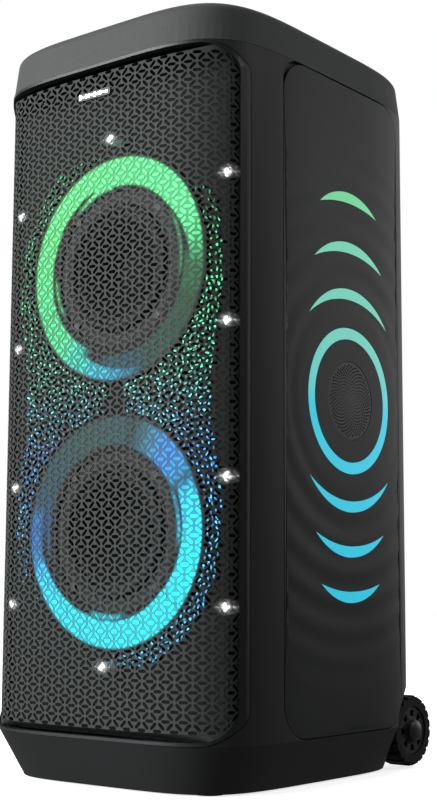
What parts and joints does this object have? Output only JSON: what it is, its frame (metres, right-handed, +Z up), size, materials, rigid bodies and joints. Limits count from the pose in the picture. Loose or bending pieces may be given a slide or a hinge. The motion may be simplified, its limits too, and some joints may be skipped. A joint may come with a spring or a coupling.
{
  "type": "party speaker",
  "caption": "Tall portable party speaker with lit woofers behind a curved grille, lit side panels, a telescopic handle and transport wheels.",
  "frame": {"origin": "on the floor, in the middle of the footprint of cabinet and wheels", "axes": "+X to the right of the front seen from in front, +Y to the back, +Z up"},
  "size_m": [0.303, 0.3562, 0.69],
  "materials": {
    "charcoal_plastic": "fine spark-eroded texture",
    "side_plastic": "fine spark-eroded texture",
    "cover_plastic": "coarse texture",
    "bezel_plastic": "satin",
    "grille_steel": "satin powder coat",
    "badge_metal": "fine brushed",
    "baffle_board": "painted black, rough",
    "light_board": "satin",
    "ring_diffuser": "frosted, lit",
    "strobe_lens": "frosted, lit",
    "side_diffuser": "frosted, lit",
    "circuit_board": "lacquered",
    "basket_metal": "satin",
    "magnet": "satin",
    "cone_paper": "pressed paper",
    "soft_rubber": "matt",
    "spider_cloth": "woven, impregnated",
    "screw_steel": "black zinc",
    "socket_plastic": "satin",
    "socket_metal": "nickel plated",
    "knob_plastic": "satin",
    "tube_metal": "satin anodised",
    "guide_metal": "plain",
    "grip_plastic": "satin",
    "axle_steel": "bright",
    "tyre_rubber": "matt",
    "rim_plastic": "satin",
    "hub_cap": "polished",
    "foot_rubber": "matt",
    "deck_plastic": "polished",
    "key_rubber": "silky",
    "battery_wrap": "shrink wrap",
    "wire_jacket": "satin"
  },
  "bodies": {
    "cabinet": {"cabinet_shell": "charcoal_plastic", "top_cap": "charcoal_plastic", "base_shell": "charcoal_plastic", "rear_skirt": "charcoal_plastic", "back_panel": "cover_plastic", "front_bezel": "bezel_plastic", "front_grille": "grille_steel", "grille_badge": "badge_metal", "front_baffle": "baffle_board", "light_panel": "light_board", "ring_lights": "ring_diffuser", "strobe_lights": "strobe_lens", "side_panel_left": "side_plastic", "side_panel_right": "side_plastic", "side_lights": "side_diffuser", "side_led_boards": "circuit_board", "side_grilles": "grille_steel", "side_drivers": "basket_metal", "side_surrounds": "soft_rubber", "woofer_baskets": "basket_metal", "woofer_motors": "magnet", "woofer_surrounds": "soft_rubber", "woofer_spiders": "spider_cloth", "woofer_screws": "screw_steel", "bass_port": "cover_plastic", "io_tray": "socket_plastic", "audio_jacks": "socket_plastic", "usb_port": "socket_metal", "power_inlet": "socket_plastic", "handle_guides": "guide_metal", "axle": "axle_steel", "axle_caps": "hub_cap", "feet": "foot_rubber", "control_deck": "deck_plastic", "control_board": "circuit_board", "main_board": "circuit_board", "heat_sink": "tube_metal", "power_supply": "circuit_board", "battery_pack": "battery_wrap", "wiring": "wire_jacket", "cover_screws": "screw_steel"},
    "upper_woofer": {"woofer_cone_upper": "cone_paper"},
    "lower_woofer": {"woofer_cone_lower": "cone_paper"},
    "left_driver": {"side_cone_left": "cone_paper"},
    "right_driver": {"side_cone_right": "cone_paper"},
    "handle_lower": {"handle_lower_tubes": "tube_metal"},
    "handle_upper": {"handle_upper_tubes": "tube_metal", "handle_grip": "grip_plastic"},
    "handle_release": {"handle_button": "knob_plastic"},
    "wheel_left": {"wheel_tyre_left": "tyre_rubber", "wheel_rim_left": "rim_plastic"},
    "wheel_right": {"wheel_tyre_right": "tyre_rubber", "wheel_rim_right": "rim_plastic"},
    "mic_level": {"mic_knob": "knob_plastic"},
    "guitar_level": {"guitar_knob": "knob_plastic"},
    "power_key": {"power_button": "key_rubber"},
    "light_key": {"light_button": "key_rubber"},
    "play_key": {"play_button": "key_rubber"},
    "volume_down_key": {"volume_down_button": "key_rubber"},
    "volume_up_key": {"volume_up_button": "key_rubber"}
  },
  "joints": [
    {"name": "upper_woofer_travel", "type": "slide", "parent": "cabinet", "child": "upper_woofer", "axis": [0, -1, 0], "range_m": [-0.004, 0.004], "stiffness_N_per_m": 2500, "deforming": ["woofer_surrounds", "woofer_spiders"]},
    {"name": "lower_woofer_travel", "type": "slide", "parent": "cabinet", "child": "lower_woofer", "axis": [0, -1, 0], "range_m": [-0.004, 0.004], "stiffness_N_per_m": 2500, "deforming": ["woofer_surrounds", "woofer_spiders"]},
    {"name": "left_driver_travel", "type": "slide", "parent": "cabinet", "child": "left_driver", "axis": [-1, 0, 0], "range_m": [-0.001, 0.001], "stiffness_N_per_m": 1500, "deforming": ["side_surrounds"]},
    {"name": "right_driver_travel", "type": "slide", "parent": "cabinet", "child": "right_driver", "axis": [1, 0, 0], "range_m": [-0.001, 0.001], "stiffness_N_per_m": 1500, "deforming": ["side_surrounds"]},
    {"name": "handle_lower_slide", "type": "slide", "parent": "cabinet", "child": "handle_lower", "axis": [0, 0, 1], "range_m": [0, 0.27]},
    {"name": "handle_upper_slide", "type": "slide", "parent": "handle_lower", "child": "handle_upper", "axis": [0, 0, 1], "range_m": [0, 0.27]},
    {"name": "handle_release_press", "type": "slide", "parent": "handle_upper", "child": "handle_release", "axis": [0, 0, -1], "range_m": [0, 0.002], "stiffness_N_per_m": 800},
    {"name": "wheel_left_spin", "type": "hinge", "parent": "cabinet", "child": "wheel_left", "pos_m": [-0.125, 0.14415, 0.036], "axis": [1, 0, 0], "continuous": true},
    {"name": "wheel_right_spin", "type": "hinge", "parent": "cabinet", "child": "wheel_right", "pos_m": [0.125, 0.14415, 0.036], "axis": [1, 0, 0], "continuous": true},
    {"name": "mic_level_turn", "type": "hinge", "parent": "cabinet", "child": "mic_level", "pos_m": [0.018, 0.14415, 0.231], "axis": [0, 1, 0], "range_deg": [-150, 150]},
    {"name": "guitar_level_turn", "type": "hinge", "parent": "cabinet", "child": "guitar_level", "pos_m": [0.042, 0.14415, 0.231], "axis": [0, 1, 0], "range_deg": [-150, 150]},
    {"name": "power_press", "type": "slide", "parent": "cabinet", "child": "power_key", "axis": [0, 0, -1], "range_m": [0, 0.001], "stiffness_N_per_m": 600},
    {"name": "light_press", "type": "slide", "parent": "cabinet", "child": "light_key", "axis": [0, 0, -1], "range_m": [0, 0.001], "stiffness_N_per_m": 600},
    {"name": "play_press", "type": "slide", "parent": "cabinet", "child": "play_key", "axis": [0, 0, -1], "range_m": [0, 0.001], "stiffness_N_per_m": 600},
    {"name": "volume_down_press", "type": "slide", "parent": "cabinet", "child": "volume_down_key", "axis": [0, 0, -1], "range_m": [0, 0.001], "stiffness_N_per_m": 600},
    {"name": "volume_up_press", "type": "slide", "parent": "cabinet", "child": "volume_up_key", "axis": [0, 0, -1], "range_m": [0, 0.001], "stiffness_N_per_m": 600}
  ]
}
